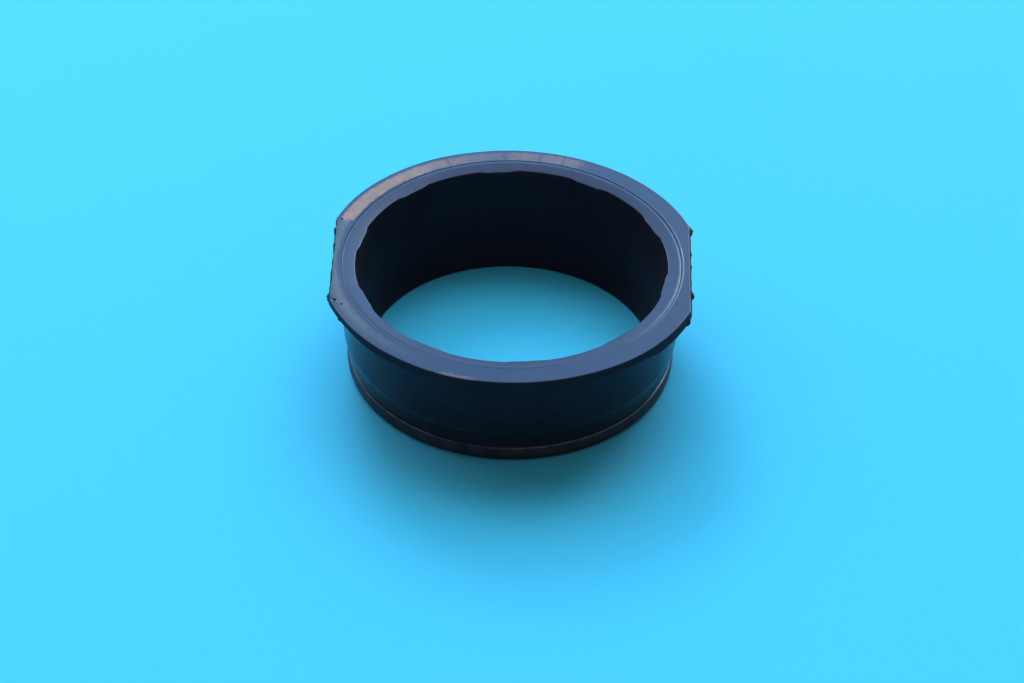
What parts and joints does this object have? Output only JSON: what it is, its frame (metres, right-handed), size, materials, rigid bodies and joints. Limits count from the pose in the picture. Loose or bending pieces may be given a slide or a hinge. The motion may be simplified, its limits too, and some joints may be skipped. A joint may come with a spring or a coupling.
{
  "type": "flanged rubber pipe sleeve",
  "caption": "Short rubber pipe sleeve with a flange collar, gripping nibs in its mouth, a stepped and grooved wall and a bead at its foot.",
  "frame": {"origin": "centre of the circle that the foot stands on, in the plane of the foot's resting face", "axes": "+Z along the pipe axis, from the foot up to the flange; the flange's two trimmed flats face +X and -X, so the full flange diameter lies along Y"},
  "size_m": [0.0472, 0.05, 0.016],
  "materials": {
    "sleeve_rubber": "satin moulded black rubber",
    "collar_rubber": "satin moulded black rubber, torn along the two flats"
  },
  "bodies": {
    "root": {"sleeve": "sleeve_rubber", "flange_collar": "collar_rubber"}
  },
  "joints": []
}
